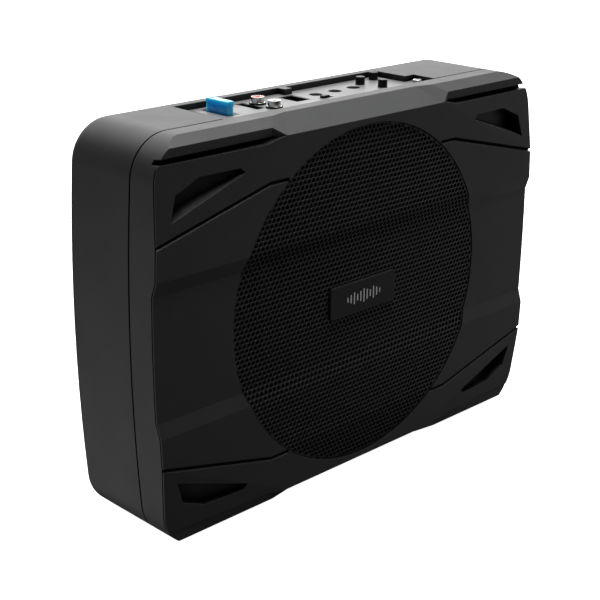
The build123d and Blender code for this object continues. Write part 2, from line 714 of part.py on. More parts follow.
def pins(at, offsets, radius):
    """Contact pins standing on a socket's floor."""
    return [rod_z(at[0] + dx, at[1] + dy, radius, SOCKET_FLOOR_Z, SOCKET_FLOOR_Z + PIN_HEIGHT)
            for dx, dy in offsets]


def fuse_holder():
    top = PANEL_TOP_Z - 0.2
    nest = (FUSE_SIZE[0] + 0.4, FUSE_SIZE[1] + 0.4)
    body = block_on_board(FUSE_AT, FUSE_HOLDER_SIZE, top)
    body -= block_on_board(FUSE_AT, nest, top + 1, FUSE_FOOT_Z - 0.1)
    for row in fuse_blade_rows():
        slot = (FUSE_BLADE[0] + 0.2, FUSE_BLADE[1] + 0.4)
        body -= block_on_board((FUSE_AT[0], row), slot, FUSE_FOOT_Z + 1, FUSE_BLADE_FOOT_Z - 0.7)
    return body


def fuse_blade_rows():
    inset = FUSE_SIZE[1] / 2 - 3.6
    return [FUSE_AT[1] - inset, FUSE_AT[1] + inset]


def fuse_body():
    """The moulded head of a blade fuse: a grip bar over a thinner window section."""
    grip_foot = FUSE_TOP_Z - FUSE_GRIP
    waist_size = (FUSE_SIZE[0] - 1.2, FUSE_SIZE[1] - 0.8)
    head = block_on_board(FUSE_AT, FUSE_SIZE, FUSE_TOP_Z, grip_foot)
    head = fillet(head.edges().filter_by(Axis.Z), 1.2)
    head = fillet(head.edges().group_by(Axis.Z)[-1], 0.8)
    body = head + block_on_board(FUSE_AT, waist_size, grip_foot, FUSE_FOOT_Z)
    for row in fuse_blade_rows():
        body -= block_on_board((FUSE_AT[0], row), (1.4, 3.0), FUSE_TOP_Z + 1, FUSE_TOP_Z - 1.2)
    return body


def fuse_blades():
    return [block_on_board((FUSE_AT[0], row), FUSE_BLADE, FUSE_FOOT_Z, FUSE_BLADE_FOOT_Z)
            for row in fuse_blade_rows()]


def rca_block():
    middle = (RCA_Y[0] + RCA_Y[1]) / 2
    return block_on_board((RCA_X, middle), (7.6, 27.0), PANEL_BACK_Z)


def tubes(places, outer, inner, z0, z1):
    """Matching upright tubes."""
    return [rod_z(x, y, outer, z0, z1) - rod_z(x, y, inner, z0 - 1, z1 + 1) for x, y in places]


def rca_barrels():
    """Thin metal sleeves, each with a slightly thicker foot up to its collar's top."""
    solids = []
    for y in RCA_Y:
        barrel = rod_z(RCA_X, y, RCA_FOOT_R, PANEL_BACK_Z, RCA_COLLAR_TOP_Z)
        barrel += rod_z(RCA_X, y, RCA_R, PANEL_BACK_Z, RCA_TOP_Z)
        solids.append(barrel - rod_z(RCA_X, y, RCA_BORE_R, PANEL_BACK_Z - 1, RCA_TOP_Z + 1))
    return solids


def rca_insulator(y):
    """The coloured filling of one phono socket."""
    top = RCA_TOP_Z - 0.15
    return tubes([(RCA_X, y)], RCA_BORE_R, RCA_CONTACT_R, PANEL_BACK_Z, top)[0]


def adjuster_bodies():
    solids = []
    for x in POT_X:
        block = block_on_board((x, POT_Y), (9.6, 9.6), CONTROL_TOP_Z)
        solids.append(block - rod_z(x, POT_Y, ROTOR_R + TURNING_GAP, ROTOR_Z[0] - 0.1, 130))
    return solids


def adjuster(x):
    """A rotor with a screwdriver slot."""
    rotor = rod_z(x, POT_Y, ROTOR_R, *ROTOR_Z)
    return rotor - Pos(x, POT_Y, ROTOR_Z[1]) * Rot(0, 0, 35) * Box(0.9, 4.6, 2.0)


def phase_switch_body():
    body = block_on_board(SWITCH_AT, (11.0, 5.6), CONTROL_TOP_Z)
    slot = (SWITCH_SLOT[0], LEVER_WIDTH + 0.2)
    return body - block_on_board(SWITCH_AT, slot, CONTROL_TOP_Z + 1, LEVER_Z[0] - 0.2)


def phase_switch_lever():
    length = SWITCH_SLOT[0] - SWITCH_TRAVEL - 0.4
    x = SWITCH_AT[0] - SWITCH_SLOT[0] / 2 + 0.2 + length / 2
    low, high = LEVER_Z
    return block_on_board((x, SWITCH_AT[1]), (length, LEVER_WIDTH), high, low)


def button_bodies():
    solids = []
    for x, y in BUTTONS_AT:
        block = block_on_board((x, y), (8.4, 8.4), CONTROL_TOP_Z)
        solids.append(block - rod_z(x, y, BUTTON_R + TURNING_GAP, BUTTON_FOOT_Z - 2, 130))
    return solids


def button(place):
    cap = rod_z(place[0], place[1], BUTTON_R, BUTTON_FOOT_Z, BUTTON_TOP_Z)
    return fillet(cap.edges().group_by(Axis.Z)[-1], 0.5)


def amplifier_board():
    board = box(BOARD_X, BOARD_Y, (BOARD_BOTTOM_Z, BOARD_TOP_Z))
    for x, y in SPACERS_AT:
        board -= rod_z(x, y, 1.5, 100, 120)
    return board


def board_screws():
    low = BOARD_BOTTOM_Z
    return [rod_z(x, y, 1.2, low, 115.0) + rod_z(x, y, 2.6, low - 2.0, low) for x, y in SPACERS_AT]


def capacitors():
    solids = []
    for x in (-10.0, 9.0, 28.0):
        can = rod_z(x, 69.5, 8.0, BOARD_BOTTOM_Z - 25.0, BOARD_BOTTOM_Z)
        solids.append(fillet(can.edges().group_by(Axis.Z)[0], 0.8))
    return solids


def choke():
    return Pos(-38.0, 64.0, BOARD_BOTTOM_Z - 4.7) * Torus(9.0, 4.5)


def heat_sink():
    height = (76.0, BOARD_BOTTOM_Z)
    body = box((-92.0, -54.0), (69.0, 72.0), height)
    for i in range(7):
        x = -91.0 + 6.0 * i
        body += box((x - 1.0, x + 1.0), (71.0, 80.0), height)
    return body


def power_transistors():
    return [box((x - 5.0, x + 5.0), (64.4, 69.0), (88.0, 104.0)) for x in (-86.0, -73.0, -60.0)]


def chips():
    low = BOARD_BOTTOM_Z - 1.7
    places = [(45.0, 48.0), (62.0, 48.0), (0.0, 46.0)]
    return [block_on_board(at, (10.0, 7.0), BOARD_BOTTOM_Z, low) for at in places]


def terminal_strip():
    return box((-8.0, 8.0), (19.0, 29.0), (TERMINAL_Z, TERMINAL_Z + TERMINAL_SHEET))


def terminal_lugs():
    z = (TERMINAL_Z + TERMINAL_SHEET, TERMINAL_Z + 5.2)
    return [box((x - 0.5, x + 0.5), (21.0, 28.0), z) for x in (-LUG_X, LUG_X)]


def speaker_leads():
    """Two short wires from the terminals up to the board."""
    z = TERMINAL_Z + 3.6
    solids = []
    for x in (-LUG_X, LUG_X):
        route = [(x, 28.0, z), (x, 39.0, z), (x, 39.0, BOARD_BOTTOM_Z)]
        path = FilletPolyline(*route, radius=6.0)
        section = Plane(origin=route[0], z_dir=(0, 1, 0)) * Circle(LEAD_R)
        solids.append(sweep(section, path))
    return solids


def all_nodes():
    rca = [(RCA_X, y) for y in RCA_Y]
    nodes = {
        "front_bezel": front_bezel(),
        "rear_housing": rear_housing(),
        "case_seal": case_seal(),
        "case_screws": case_screws(),
        "bracket_inserts": bracket_inserts(),
        "rubber_feet": rubber_feet(),
        "grille_mesh": grille_mesh(),
        "grille_retainer": grille_retainer(),
        "badge_plate": badge_plate(),
        "badge_mark": badge_mark(),
        "woofer_gasket": woofer_gasket(),
        "woofer_screws": woofer_screws(),
        "woofer_basket": woofer_basket(),
        "surround": surround(),
        "cone": cone(),
        "dust_cap": dust_cap(),
        "voice_coil_former": voice_coil_former(),
        "voice_coil": voice_coil(),
        "spider": spider(),
        "top_plate": top_plate(),
        "magnet": magnet(),
        "yoke": yoke(),
        "magnet_pad": magnet_pad(),
        "terminal_strip": terminal_strip(),
        "terminal_lugs": terminal_lugs(),
        "speaker_leads": speaker_leads(),
        "control_panel": control_panel(),
        "panel_screw": panel_screw(),
        "fuse_holder": fuse_holder(),
        "fuse_body": fuse_body(),
        "fuse_blades": fuse_blades(),
        "speaker_input_socket": socket_shell(SPEAKER_SOCKET_AT, SPEAKER_SOCKET_SIZE),
        "speaker_input_pins": pins(SPEAKER_SOCKET_AT, SPEAKER_PINS, 0.6),
        "power_socket": socket_shell(POWER_SOCKET_AT, POWER_SOCKET_SIZE),
        "power_pins": pins(POWER_SOCKET_AT, POWER_PINS, 1.0),
        "rca_block": rca_block(),
        "rca_barrels": rca_barrels(),
        "rca_collars": tubes(rca, RCA_COLLAR_R, RCA_FOOT_R, PANEL_TOP_Z, RCA_COLLAR_TOP_Z),
        "rca_insulator_red": rca_insulator(RCA_Y[0]),
        "rca_insulator_white": rca_insulator(RCA_Y[1]),
        "rca_contacts": tubes(rca, RCA_CONTACT_R, 0.8, PANEL_BACK_Z, RCA_TOP_Z - 0.6),
        "adjuster_bodies": adjuster_bodies(),
        "gain_adjuster": adjuster(POT_X[0]),
        "filter_adjuster": adjuster(POT_X[1]),
        "bass_adjuster": adjuster(POT_X[2]),
        "phase_switch_body": phase_switch_body(),
        "phase_switch_lever": phase_switch_lever(),
        "button_bodies": button_bodies(),
        "mode_button": button(BUTTONS_AT[0]),
        "input_button": button(BUTTONS_AT[1]),
        "power_button": button(BUTTONS_AT[2]),
        "amplifier_board": amplifier_board(),
        "board_spacers": tubes(SPACERS_AT, 2.6, 1.25, BOARD_TOP_Z, PANEL_BACK_Z),
        "board_screws": board_screws(),
        "filter_capacitors": capacitors(),
        "choke": choke(),
        "heat_sink": heat_sink(),
        "power_transistors": power_transistors(),
        "control_chips": chips(),
    }
    return nodes


def write(name, shape):
    """One file for each node, in the part's own frame."""
    solids = []
    for piece in shape if isinstance(shape, list) else [shape]:
        solids += piece.solids()
    solids = [PLACE * solid for solid in solids]
    whole = solids[0] if len(solids) == 1 else Compound(children=solids)
    whole.label = name
    export_step(whole, f"parts/{name}.step")


os.makedirs("parts", exist_ok=True)
for node_name, node_shape in all_nodes().items():
    write(node_name, node_shape)
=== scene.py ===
import json
import math

import bmesh
import bpy
from mathutils import Matrix, Vector


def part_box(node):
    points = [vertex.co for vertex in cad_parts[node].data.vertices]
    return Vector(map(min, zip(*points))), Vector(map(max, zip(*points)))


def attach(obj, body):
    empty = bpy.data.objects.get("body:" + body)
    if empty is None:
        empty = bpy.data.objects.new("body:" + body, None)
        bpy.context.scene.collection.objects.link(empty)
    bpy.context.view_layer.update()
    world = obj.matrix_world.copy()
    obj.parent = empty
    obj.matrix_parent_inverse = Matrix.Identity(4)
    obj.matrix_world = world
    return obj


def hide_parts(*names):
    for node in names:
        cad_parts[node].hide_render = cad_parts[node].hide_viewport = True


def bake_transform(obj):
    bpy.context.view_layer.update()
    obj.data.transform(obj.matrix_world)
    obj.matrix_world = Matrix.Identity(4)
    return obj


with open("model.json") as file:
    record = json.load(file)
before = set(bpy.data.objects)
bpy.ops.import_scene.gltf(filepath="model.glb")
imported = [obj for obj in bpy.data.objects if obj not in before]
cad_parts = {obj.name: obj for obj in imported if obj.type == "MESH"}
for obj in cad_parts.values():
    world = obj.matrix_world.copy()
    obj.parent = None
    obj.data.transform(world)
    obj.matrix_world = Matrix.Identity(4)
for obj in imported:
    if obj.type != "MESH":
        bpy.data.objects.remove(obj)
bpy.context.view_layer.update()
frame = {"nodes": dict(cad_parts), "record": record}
nodes = frame["nodes"]

MM_PER_METRE = 1000


def box_mm(node):
    """A CAD node's lowest and highest corners in millimetres."""
    return [[round(c * MM_PER_METRE, 2) for c in corner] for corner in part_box(node)]


def outer_radius(node):
    """The radius in millimetres of a CAD node that is round about the loudspeaker's axis."""
    return box_mm(node)[1][0]


# The design frame, in millimetres: origin on the bezel's front plane at the loudspeaker's centre,
# +Y into the case, +Z up
bezel_low, bezel_high = box_mm("front_bezel")
SHIFT_Y = -bezel_low[1]
SHIFT_Z = (bezel_low[2] + bezel_high[2]) / 2


def at(x, y, z):
    """A design-frame point in millimetres as a point of the frame in metres."""
    return x / MM_PER_METRE, (y - SHIFT_Y) / MM_PER_METRE, (z + SHIFT_Z) / MM_PER_METRE


# ---------------------------------------------------------------- materials

# Metres between the ridges of a wave texture at scale 1
WAVE_PITCH = 0.31


class Graph:
    """A shorthand for building one node material. Sizes are in metres."""

    def __init__(self, name):
        self.mat = bpy.data.materials.new(name)
        self.mat.use_nodes = True
        self.tree = self.mat.node_tree
        self.shader = self.tree.nodes["Principled BSDF"]
        self.coords = self.new("ShaderNodeTexCoord").outputs["Object"]

    def new(self, kind):
        return self.tree.nodes.new(kind)

    def link(self, out, socket):
        self.tree.links.new(out, socket)

    def mapping(self, scale):
        """The object's coordinates, stretched along each axis."""
        node = self.new("ShaderNodeMapping")
        node.inputs["Scale"].default_value = scale
        self.link(self.coords, node.inputs["Vector"])
        return node.outputs["Vector"]

    def noise(self, size, detail=3.0, vector=None, rough=0.5):
        """Noise whose cells are about size metres."""
        node = self.new("ShaderNodeTexNoise")
        node.inputs["Scale"].default_value = 1 / size
        node.inputs["Detail"].default_value = detail
        node.inputs["Roughness"].default_value = rough
        self.link(vector or self.coords, node.inputs["Vector"])
        return node.outputs["Fac"]

    def cells(self, size):
        """Distance from the centres of cells about size metres across."""
        node = self.new("ShaderNodeTexVoronoi")
        node.inputs["Scale"].default_value = 1 / size
        self.link(self.coords, node.inputs["Vector"])
        return node.outputs["Distance"]

    def bands(self, pitch, direction, distortion):
        """Parallel ridges about pitch metres apart, stacked along X, Y or Z."""
        node = self.new("ShaderNodeTexWave")
        node.wave_type = "BANDS"
        node.bands_direction = direction
        node.inputs["Scale"].default_value = WAVE_PITCH / pitch
        node.inputs["Distortion"].default_value = distortion
        self.link(self.coords, node.inputs["Vector"])
        return node.outputs["Fac"]

    def product(self, a, b):
        """One output times another."""
        node = self.new("ShaderNodeMath")
        node.operation = "MULTIPLY"
        self.link(a, node.inputs[0])
        self.link(b, node.inputs[1])
        return node.outputs[0]

    def remap(self, value, lo, hi, out_lo, out_hi):
        """An output taken in proportion from lo..hi to out_lo..out_hi, and held at the ends."""
        node = self.new("ShaderNodeMapRange")
        node.clamp = True
        node.inputs["From Min"].default_value = lo
        node.inputs["From Max"].default_value = hi
        node.inputs["To Min"].default_value = out_lo
        node.inputs["To Max"].default_value = out_hi
        self.link(value, node.inputs["Value"])
        return node.outputs["Result"]

    def mix(self, fac, a, b):
        """Colour a where fac is 0 and b where it is 1, each a colour or another node's output."""
        node = self.new("ShaderNodeMix")
        node.data_type = "RGBA"
        self.link(fac, node.inputs["Factor"])
        for name, value in (("A", a), ("B", b)):
            socket = [s for s in node.inputs if s.name == name and s.type == "RGBA"][0]
            if isinstance(value, tuple):
                socket.default_value = (*value, 1.0)
            else:
                self.link(value, socket)
        return [s for s in node.outputs if s.type == "RGBA"][0]

    def edges(self, radius):
        """1 along outer edges within radius metres, 0 elsewhere."""
        bevel = self.new("ShaderNodeBevel")
        bevel.samples = 4
        bevel.inputs["Radius"].default_value = radius
        geometry = self.new("ShaderNodeNewGeometry")
        dot = self.new("ShaderNodeVectorMath")
        dot.operation = "DOT_PRODUCT"
        self.link(bevel.outputs["Normal"], dot.inputs[0])
        self.link(geometry.outputs["Normal"], dot.inputs[1])
        return self.remap(dot.outputs["Value"], 0.985, 0.86, 0.0, 1.0)

    def openness(self, reach):
        """1 on open faces, falling towards 0 in grooves and inside corners within reach metres; the
        mask for painted shade.
        """
        node = self.new("ShaderNodeAmbientOcclusion")
        node.samples = 8
        node.inputs["Distance"].default_value = reach
        return self.remap(node.outputs["AO"], 0.35, 0.92, 0.0, 1.0)

    def bump(self, heights, bevel=0.0):
        """Chained bumps from (height, distance in metres) pairs over a softened edge."""
        normal = None
        if bevel:
            node = self.new("ShaderNodeBevel")
            node.samples = 4
            node.inputs["Radius"].default_value = bevel
            normal = node.outputs["Normal"]
        for height, distance in heights:
            node = self.new("ShaderNodeBump")
            node.inputs["Distance"].default_value = distance
            node.inputs["Strength"].default_value = 1.0
            self.link(height, node.inputs["Height"])
            if normal:
                self.link(normal, node.inputs["Normal"])
            normal = node.outputs["Normal"]
        self.link(normal, self.shader.inputs["Normal"])

    def set(self, **values):
        """Shader inputs by name, each a number, a colour or another node's output."""
        for key, value in values.items():
            socket = self.shader.inputs[key.replace("_", " ")]
            if isinstance(value, (int, float)):
                socket.default_value = value
            elif isinstance(value, tuple):
                socket.default_value = (*value, 1.0)
            else:
                self.link(value, socket)


def shade(colour, factor):
    return tuple(c * factor for c in colour)


def moulded(name, colour, rough, bevel, wear=1.35, spec=0.5, painted_shade_reach=0.0):
    """Moulded plastic: fine spark grain, faint mottling, polished edges, and painted shade that
    darkens grooves and inside corners.
    """
    g = Graph(name)
    mottle = g.noise(0.018, 4.0)
    grain = g.noise(0.0004, 2.0)
    base = g.mix(g.remap(mottle, 0.35, 0.65, 0.0, 1.0), shade(colour, 0.93), shade(colour, 1.07))
    if wear:
        worn = g.product(g.edges(bevel * 1.6), g.remap(g.noise(0.006), 0.4, 0.6, 0.35, 1.0))
        base = g.mix(worn, base, shade(colour, wear))
    # Painted shade: within the reach, grooves, recesses and inside corners darken towards 12 % of
    # the colour and their specular dims.
    if painted_shade_reach:
        clear = g.openness(painted_shade_reach)
        base = g.mix(clear, shade(colour, 0.12), base)
        spec = g.remap(clear, 0.0, 1.0, spec * 0.15, spec)
    smear = g.remap(g.noise(0.035, 5.0), 0.3, 0.7, rough - 0.035, rough + 0.035)
    g.set(Base_Color=base, Roughness=smear, Specular_IOR_Level=spec)
    g.bump([(grain, 0.00002)], bevel)
    return g.mat


def metal(name, colour, rough, brushed=(1, 1, 1), bevel=0.00025, metallic=1.0):
    """Plated, turned or brushed metal with hairline scratches and uneven tarnish."""
    g = Graph(name)
    lines = g.noise(0.0006, 3.0, g.mapping(brushed))
    stain = g.noise(0.004, 4.0)
    base = g.mix(g.remap(stain, 0.35, 0.7, 0.0, 1.0), colour, shade(colour, 0.8))
    g.set(Base_Color=base, Metallic=metallic)
    g.set(Roughness=g.remap(lines, 0.3, 0.7, max(rough - 0.08, 0.03), rough + 0.08))
    g.bump([(lines, 0.000006)], bevel)
    return g.mat


def painted(name, colour, rough, bevel=0.0003):
    """Sprayed or baked paint: a little orange peel, thin on the edges."""
    g = Graph(name)
    peel = g.noise(0.0012, 2.0)
    tone = g.noise(0.012, 4.0)
    base = g.mix(g.remap(tone, 0.35, 0.65, 0.0, 1.0), shade(colour, 0.95), shade(colour, 1.05))
    thin = g.product(g.edges(bevel * 1.5), g.remap(g.noise(0.003), 0.42, 0.6, 0.0, 1.0))
    g.set(Base_Color=g.mix(thin, base, shade(colour, 1.6)))
    g.set(Roughness=g.remap(g.noise(0.02, 5.0), 0.3, 0.7, rough - 0.05, rough + 0.05))
    g.bump([(peel, 0.00001)], bevel)
    return g.mat


def rubber(name, colour):
    """Matt rubber with a dusty bloom."""
    g = Graph(name)
    bloom = g.remap(g.noise(0.008, 6.0), 0.42, 0.7, 0.0, 1.0)
    g.set(Base_Color=g.mix(bloom, colour, shade(colour, 1.9)), Specular_IOR_Level=0.35)
    g.set(Roughness=g.remap(g.noise(0.004, 3.0), 0.3, 0.7, 0.64, 0.8))
    g.bump([(g.noise(0.0005, 2.0), 0.00002)], 0.0004)
    return g.mat


def pressed_pulp(name, colour):
    """Pressed paper pulp with felted fibres."""
    g = Graph(name)
    fibre = g.noise(0.0012, 6.0, g.mapping((1, 0.35, 2.4)), 0.7)
    felt = g.noise(0.0007, 5.0)
    g.set(Base_Color=g.mix(g.remap(fibre, 0.4, 0.7, 0.0, 1.0), colour, shade(colour, 2.0)))
    g.set(Roughness=0.85, Sheen_Weight=0.15)
    g.bump([(fibre, 0.00006), (felt, 0.00004)])
    return g.mat


def woven(name, colour):
    """Plain-woven cloth stiffened with resin."""
    g = Graph(name)
    weave = g.product(g.bands(0.0006, "X", 0.3), g.bands(0.0006, "Z", 0.3))
    stain = g.remap(g.noise(0.01, 4.0), 0.35, 0.65, 0.0, 1.0)
    base = g.mix(weave, shade(colour, 0.55), g.mix(stain, colour, shade(colour, 1.2)))
    g.set(Base_Color=base, Roughness=0.85, Sheen_Weight=0.1)
    g.bump([(weave, 0.00008)])
    return g.mat


def clear_plastic(name, colour, transmission):
    """Tinted plastic that lets some light through, with moulding ripples."""
    g = Graph(name)
    flow = g.noise(0.006, 3.0)
    base = g.mix(g.remap(flow, 0.35, 0.65, 0.0, 1.0), shade(colour, 0.9), shade(colour, 1.08))
    g.set(Base_Color=base, Transmission_Weight=transmission, IOR=1.5, Coat_Weight=0.2)
    g.set(Subsurface_Weight=0.9, Subsurface_Scale=0.01)
    g.shader.inputs["Subsurface Radius"].default_value = (0.25, 0.6, 1.0)
    g.set(Roughness=g.remap(g.noise(0.003, 3.0), 0.3, 0.7, 0.12, 0.24))
    g.bump([(g.noise(0.002, 2.0), 0.00003)], 0.0004)
    return g.mat


def sintered(name, colour):
    """Ferrite: dark, grainy, chipped at the edges."""
    g = Graph(name)
    grit = g.noise(0.0004, 4.0)
    chips = g.cells(0.003)
    g.set(Base_Color=g.mix(g.remap(grit, 0.4, 0.7, 0.0, 1.0), colour, shade(colour, 1.8)))
    g.set(Roughness=g.remap(chips, 0.0, 0.6, 0.45, 0.75), Metallic=0.25)
    g.bump([(grit, 0.00003), (chips, 0.00003)], 0.0005)
    return g.mat


def open_foam(name, colour):
    """Open-cell foam: dark pores between paler ribs."""
    g = Graph(name)
    cells = g.cells(0.0009)
    ribs = g.remap(cells, 0.0, 0.5, 0.0, 1.0)
    g.set(Base_Color=g.mix(ribs, shade(colour, 0.3), shade(colour, 1.6)), Roughness=0.95)
    g.bump([(cells, 0.0004)])
    return g.mat


def circuit_board(name, colour):
    """Green solder mask over copper tracks."""
    g = Graph(name)
    tracks = g.new("ShaderNodeTexVoronoi")
    tracks.feature = "DISTANCE_TO_EDGE"
    tracks.inputs["Scale"].default_value = 1 / 0.007
    tracks.inputs["Randomness"].default_value = 0.45
    g.link(g.mapping((1, 1, 0.05)), tracks.inputs["Vector"])
    track = g.remap(tracks.outputs["Distance"], 0.03, 0.06, 1.0, 0.0)
    g.set(Base_Color=g.mix(track, colour, shade(colour, 1.9)), Roughness=0.35, Coat_Weight=0.3)
    g.bump([(track, 0.00004), (g.noise(0.001), 0.00001)], 0.0003)
    return g.mat


def wound_wire(name, colour):
    """Enamelled wire wound side by side."""
    g = Graph(name)
    turns = g.bands(0.0006, "Y", 0.15)
    g.set(Base_Color=g.mix(turns, shade(colour, 0.35), colour), Metallic=0.85, Coat_Weight=0.5)
    g.set(Roughness=g.remap(g.noise(0.002), 0.3, 0.7, 0.2, 0.35))
    g.bump([(turns, 0.00015)])
    return g.mat


BLACK = (0.026, 0.0265, 0.027)
MATERIALS = {
    # The case and bezel plastics carry painted shade in grooves and recesses, reaching 10 mm.
    "case_plastic": moulded("case_plastic_grain", BLACK, 0.5, 0.0006, painted_shade_reach=0.01),
    "bezel_plastic": moulded("bezel_plastic_grain", BLACK, 0.5, 0.0006, painted_shade_reach=0.01),
    "grille_steel": painted("grille_powder_coat", (0.008, 0.008, 0.0083), 0.45, bevel=0.0),
    "badge_black": moulded("badge_satin", (0.009, 0.009, 0.0095), 0.5, 0.0003, spec=0.35),
    "badge_silver": metal("badge_brushed", (0.72, 0.72, 0.74), 0.28, (1, 1, 14), 0.0001, 0.4),
    "black_plastic": moulded("small_black_moulding", (0.004, 0.004, 0.0043), 0.4, 0.0003, spec=0.2),
    "rubber": rubber("black_rubber", (0.018, 0.018, 0.019)),
    "black_steel": metal("black_zinc", (0.05, 0.05, 0.055), 0.38),
    "bright_steel": metal("bright_zinc", (0.62, 0.62, 0.6), 0.3),
    "brass": metal("plain_brass", (0.78, 0.56, 0.25), 0.3),
    "basket_metal": painted("basket_enamel", (0.015, 0.015, 0.016), 0.35),
    "cone_paper": pressed_pulp("cone_pulp", (0.014, 0.014, 0.015)),
    "coil_former": metal("former_foil", (0.8, 0.8, 0.81), 0.3, (1, 12, 1)),
    "copper": wound_wire("enamelled_wire", (0.62, 0.23, 0.09)),
    "spider_cloth": woven("resin_cloth", (0.42, 0.27, 0.09)),
    "ferrite": sintered("ferrite_ring", (0.035, 0.035, 0.038)),
    "foam": open_foam("open_cell_foam", (0.02, 0.02, 0.021)),
    "wire_sleeve": moulded("wire_sleeve_pvc", (0.2, 0.012, 0.01), 0.4, 0.0),
    "panel_silver": painted("panel_silver_paint", (0.22, 0.22, 0.222), 0.45),
    "fuse_blue": clear_plastic("fuse_blue_clear", (0.05, 0.58, 1.0), transmission=0.1),
    "tinned_metal": metal("tinned_blade", (0.7, 0.7, 0.66), 0.25),
    "nickel": metal("nickel_plate", (0.78, 0.76, 0.72), 0.16),
    "jack_red": moulded("jack_red_plastic", (0.78, 0.16, 0.1), 0.35, 0.0001, wear=0),
    "jack_white": moulded("jack_white_plastic", (0.8, 0.8, 0.78), 0.35, 0.0001, wear=0),
    "board_green": circuit_board("solder_mask", (0.012, 0.09, 0.035)),
    "can_sleeve": moulded("capacitor_sleeve", (0.012, 0.013, 0.03), 0.2, 0.0004),
    "cast_alloy": metal("extruded_alloy", (0.62, 0.62, 0.63), 0.38, (10, 10, 1)),
}
SLOT_OF = {s["node"]: s["material_slot"] for s in frame["record"]["subparts"]}
for name, node in nodes.items():
    node.data.materials.clear()
    node.data.materials.append(MATERIALS[SLOT_OF[name]])


# ---------------------------------------------------------------- shapes

def piece(name, verts, faces, body, slot, angle=35, stands_for=()):
    """A smooth-shaded mesh piece in metres, in the frame's coordinates, riding on a body."""
    mesh = bpy.data.meshes.new(name)
    mesh.from_pydata([tuple(v) for v in verts], [], [tuple(f) for f in faces])
    mesh.validate()
    bm = bmesh.new()
    bm.from_mesh(mesh)
    bmesh.ops.remove_doubles(bm, verts=bm.verts, dist=1e-7)
    bmesh.ops.recalc_face_normals(bm, faces=bm.faces)
    bm.to_mesh(mesh)
    bm.free()
    obj = bpy.data.objects.new(name, mesh)
    bpy.context.scene.collection.objects.link(obj)
    mesh.materials.append(MATERIALS[slot])
    mesh.shade_smooth()
    mesh.set_sharp_from_angle(angle=math.radians(angle))
    if body:
        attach(obj, body)
    if stands_for:
        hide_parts(*stands_for)
    return obj


# Grille, in millimetres: a sheet with staggered round holes that follows the folds of the front
GRILLE_R = outer_radius("grille_mesh")
HOLE_PITCH = 3.6
ROW_PITCH = HOLE_PITCH * math.sqrt(3) / 2
HOLE_R = 1.4
HOLE_SIDES = 12
# Each hole's front edge is broken by this much
EDGE_WIDTH = 0.12
EDGE_DEPTH = 0.14
# A cell at the rim stays plain if its hole would reach in from the edge by less than this
LEAST_REACH = 1.4
SHEET = 1.0
# Height and depth of the sheet's front at each fold; depths are averaged over the spread of heights
FOLDS = [(-114.0, 2.1), (-88.7, 0.5), (-47.5, 0.5), (-38.5, 3.6)]
FOLDS += [(-z, y) for z, y in reversed(FOLDS)]
FOLD_SPREAD = [-2.4, -1.2, 0.0, 1.2, 2.4]
HEM_BACK = 11.0


def grille_depth(z):
    """The sheet's front at height z, with its folds rounded."""
    def straight(h):
        for (z0, y0), (z1, y1) in zip(FOLDS, FOLDS[1:]):
            if h <= z1:
                return y0 + (y1 - y0) * (h - z0) / (z1 - z0)
        return FOLDS[-1][1]
    (low, _), (high, _) = FOLDS[0], FOLDS[-1]
    return sum(straight(min(max(z + s, low), high)) for s in FOLD_SPREAD) / len(FOLD_SPREAD)


def circle(x, z, radius, count):
    """Points round a centre in front view, starting at the top."""
    angles = [math.radians(360 / count * i) for i in range(count)]
    return [(x + radius * math.sin(a), z + radius * math.cos(a)) for a in angles]


def grille():
    """Hexagonal cells with a round hole in each; cells at the rim are pulled in to the edge."""
    verts, faces, index = [], [], {}

    def vert(x, z, level):
        r = math.hypot(x, z)
        if r > GRILLE_R:
            x, z = x * GRILLE_R / r, z * GRILLE_R / r
        key = (round(x, 4), round(z, 4), level)
        if key not in index:
            index[key] = len(verts)
            verts.append(at(x, grille_depth(z) + level, z))
        return index[key]

    rows = int(GRILLE_R / ROW_PITCH) + 1
    columns = int(GRILLE_R / HOLE_PITCH) + 1
    corner_r = HOLE_PITCH / math.sqrt(3)
    for row in range(-rows, rows + 1):
        for column in range(-columns - 1, columns + 1):
            cx = (column + (0.5 if row % 2 else 0.0)) * HOLE_PITCH
            cz = row * ROW_PITCH
            corners = circle(cx, cz, corner_r, 6)
            if min(math.hypot(x, z) for x, z in corners) >= GRILLE_R:
                continue
            ring = []
            for (x0, z0), (x1, z1) in zip(corners, corners[1:] + corners[:1]):
                ring += [(x0, z0), ((x0 + x1) / 2, (z0 + z1) / 2)]
            pierced = math.hypot(cx, cz) - HOLE_R < GRILLE_R - LEAST_REACH
            if not pierced:
                for level, order in ((0.0, 1), (SHEET, -1)):
                    loop = [vert(x, z, level) for x, z in ring][::order]
                    loop = [v for i, v in enumerate(loop) if v != loop[i - 1]]
                    if len(set(loop)) > 2:
                        faces.append(loop)
                continue
            mouth = circle(cx, cz, HOLE_R + EDGE_WIDTH, HOLE_SIDES)
            hole = circle(cx, cz, HOLE_R, HOLE_SIDES)
            steps = ((0.0, ring), (0.0, mouth), (EDGE_DEPTH, hole), (SHEET, hole), (SHEET, ring))
            loops = [[vert(x, z, level) for x, z in points] for level, points in steps]
            for a, b in zip(loops, loops[1:]):
                for i in range(HOLE_SIDES):
                    j = (i + 1) % HOLE_SIDES
                    quad = [a[i], a[j], b[j], b[i]]
                    if len(set(quad)) > 2:
                        faces.append(quad)
    return verts, faces


piece("grille_perforated_sheet", *grille(), "case", "grille_steel", angle=40)


